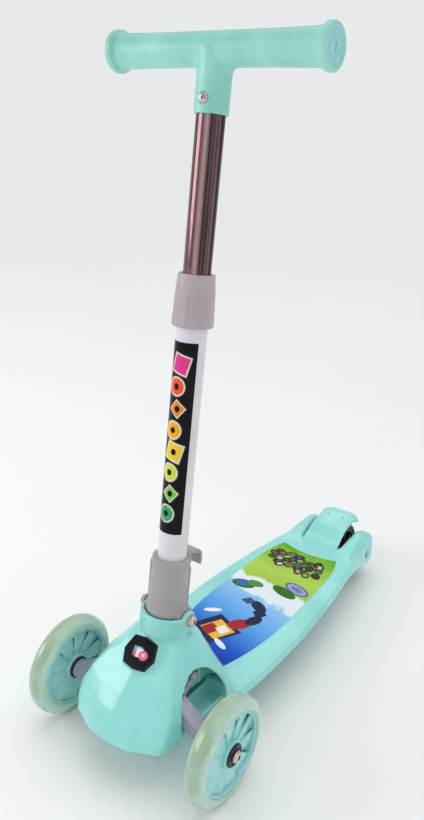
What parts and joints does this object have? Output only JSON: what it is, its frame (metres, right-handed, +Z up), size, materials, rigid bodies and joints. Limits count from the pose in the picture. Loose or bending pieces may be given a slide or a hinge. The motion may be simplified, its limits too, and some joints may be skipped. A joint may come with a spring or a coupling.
{
  "type": "kick scooter",
  "caption": "Child's folding lean-to-steer kick scooter: printed moulded deck, clear front wheels on sprung kingpin arms, wide rear wheel with foot brake, and a T-bar that slides up and down",
  "frame": {"origin": "bottom centre of the bounding box, on the floor midway along and across the scooter", "axes": "+Z up, -Y is the way the scooter rolls, +X is the rider's left"},
  "size_m": [0.2592, 0.5751, 0.7496],
  "materials": {
    "mint_plastic": "glossy moulded plastic, mint green, fine sink marks",
    "mint_grip": "moulded plastic with a fine mottled grain for grip, mint green",
    "hub_plastic": "moulded plastic wheel hub, mint green",
    "grey_plastic": "satin moulded plastic, warm light grey",
    "collar_plastic": "satin moulded plastic, light grey",
    "bush_plastic": "moulded nylon, pinkish grey",
    "white_paint": "white powder coat on steel tube, satin",
    "chrome_tube": "polished chrome plate on steel tube",
    "label_film": null,
    "badge_film": null,
    "deck_film": "printed film under clear gloss: blue sky over a green meadow",
    "clear_tyre": "clear cast polyurethane, pale green",
    "black_tyre": "black cast polyurethane",
    "black_hub": "black moulded plastic",
    "light_plastic": "milky translucent plastic",
    "alloy": "satin cast alloy, slightly lilac",
    "bridge_plastic": "glass-filled nylon, dark green",
    "zinc_steel": "zinc plated steel",
    "bolt_steel": "bright plated steel, warm tint",
    "black_cap": "black moulded plastic, satin",
    "bearing_steel": "ground steel with dark seals",
    "spring_steel": "oiled spring steel"
  },
  "bodies": {
    "deck": {"deck": "mint_plastic", "deck_print": "deck_film", "front_housing": "mint_plastic", "badge": "badge_film", "kingpin_bridge": "bridge_plastic", "kingpin_left": "zinc_steel", "kingpin_right": "zinc_steel", "kingpin_nuts": "zinc_steel", "bridge_screws": "zinc_steel", "housing_screws": "zinc_steel", "fold_bolt": "bolt_steel", "fold_nut": "zinc_steel", "fold_bushes": "bush_plastic", "rear_axle": "zinc_steel", "rear_axle_nut": "zinc_steel", "rear_spacers": "zinc_steel"},
    "stem": {"stem_sleeve": "grey_plastic", "lower_tube": "white_paint", "stem_label": "label_film", "collet_sleeve": "bush_plastic", "sleeve_screw": "zinc_steel"},
    "latch": {"fold_latch": "grey_plastic"},
    "collar": {"height_collar": "collar_plastic"},
    "handlebar": {"handlebar": "mint_grip", "end_plug_left": "mint_grip", "end_plug_right": "mint_grip", "handlebar_screw": "bolt_steel", "upper_tube": "chrome_tube", "upper_tube_bush": "bush_plastic"},
    "tie_rod": {"tie_rod": "zinc_steel"},
    "wheel_rear": {"rear_tyre": "black_tyre", "rear_hub": "black_hub", "rear_bearings": "bearing_steel", "rear_bearing_spacer": "zinc_steel"},
    "brake": {"rear_brake": "mint_plastic", "brake_plate": "zinc_steel", "brake_screws": "bolt_steel"},
    "arm_left": {"steering_arm_left": "alloy", "axle_bolt_left": "bolt_steel", "axle_nut_left": "zinc_steel", "axle_caps_left": "black_cap", "tie_pin_left": "zinc_steel", "torsion_spring_left": "spring_steel"},
    "wheel_left": {"front_tyre_left": "clear_tyre", "front_hub_left": "hub_plastic", "front_bearings_left": "bearing_steel", "front_bearing_spacer_left": "zinc_steel", "light_ring_left": "light_plastic"},
    "arm_right": {"steering_arm_right": "alloy", "axle_bolt_right": "bolt_steel", "axle_nut_right": "zinc_steel", "axle_caps_right": "black_cap", "tie_pin_right": "zinc_steel", "torsion_spring_right": "spring_steel"},
    "wheel_right": {"front_tyre_right": "clear_tyre", "front_hub_right": "hub_plastic", "front_bearings_right": "bearing_steel", "front_bearing_spacer_right": "zinc_steel", "light_ring_right": "light_plastic"}
  },
  "joints": [
    {"name": "stem_fold", "type": "hinge", "parent": "deck", "child": "stem", "pos_m": [0, -0.181, 0.1585], "axis": [-1, 0, 0], "range_deg": [0, 80]},
    {"name": "height_slide", "type": "slide", "parent": "stem", "child": "handlebar", "axis": [0, 0.108, 0.9942], "range_m": [-0.13, 0]},
    {"name": "collar_twist", "type": "hinge", "parent": "stem", "child": "collar", "pos_m": [0, -0.14558, 0.50287], "axis": [0, 0.108, 0.9942], "range_deg": [0, 90]},
    {"name": "latch_slide", "type": "slide", "parent": "stem", "child": "latch", "axis": [0, 0.108, 0.9942], "range_m": [0, 0.008], "stiffness_N_per_m": 300, "springref_m": -0.004},
    {"name": "steer_left", "type": "hinge", "parent": "deck", "child": "arm_left", "pos_m": [0.042, -0.218, 0.082], "axis": [0, -0.5, 0.866], "range_deg": [-11, 11], "stiffness_Nm_per_rad": 15},
    {"name": "steer_right", "type": "hinge", "parent": "deck", "child": "arm_right", "pos_m": [-0.042, -0.218, 0.082], "axis": [0, -0.5, 0.866], "range_deg": [-11, 11], "stiffness_Nm_per_rad": 15},
    {"name": "tie_rod_pivot", "type": "hinge", "parent": "arm_left", "child": "tie_rod", "pos_m": [0.042, -0.19029, 0.098], "axis": [0, -0.5, 0.866], "range_deg": [-11, 11]},
    {"name": "wheel_left_spin", "type": "hinge", "parent": "arm_left", "child": "wheel_left", "pos_m": [0.111, -0.226, 0.06], "axis": [1, 0, 0], "continuous": true},
    {"name": "wheel_right_spin", "type": "hinge", "parent": "arm_right", "child": "wheel_right", "pos_m": [-0.111, -0.226, 0.06], "axis": [1, 0, 0], "continuous": true},
    {"name": "wheel_rear_spin", "type": "hinge", "parent": "deck", "child": "wheel_rear", "pos_m": [0, 0.248, 0.04], "axis": [1, 0, 0], "continuous": true},
    {"name": "brake_press", "type": "hinge", "parent": "deck", "child": "brake", "pos_m": [0, 0.1983, 0.0634], "axis": [-1, 0, 0], "range_deg": [0, 3.5], "stiffness_Nm_per_rad": 8, "springref_deg": -1.15}
  ],
  "couplings": [
    {"joint": "steer_right", "follows": "steer_left", "ratio": 1},
    {"joint": "tie_rod_pivot", "follows": "steer_left", "ratio": -1}
  ]
}
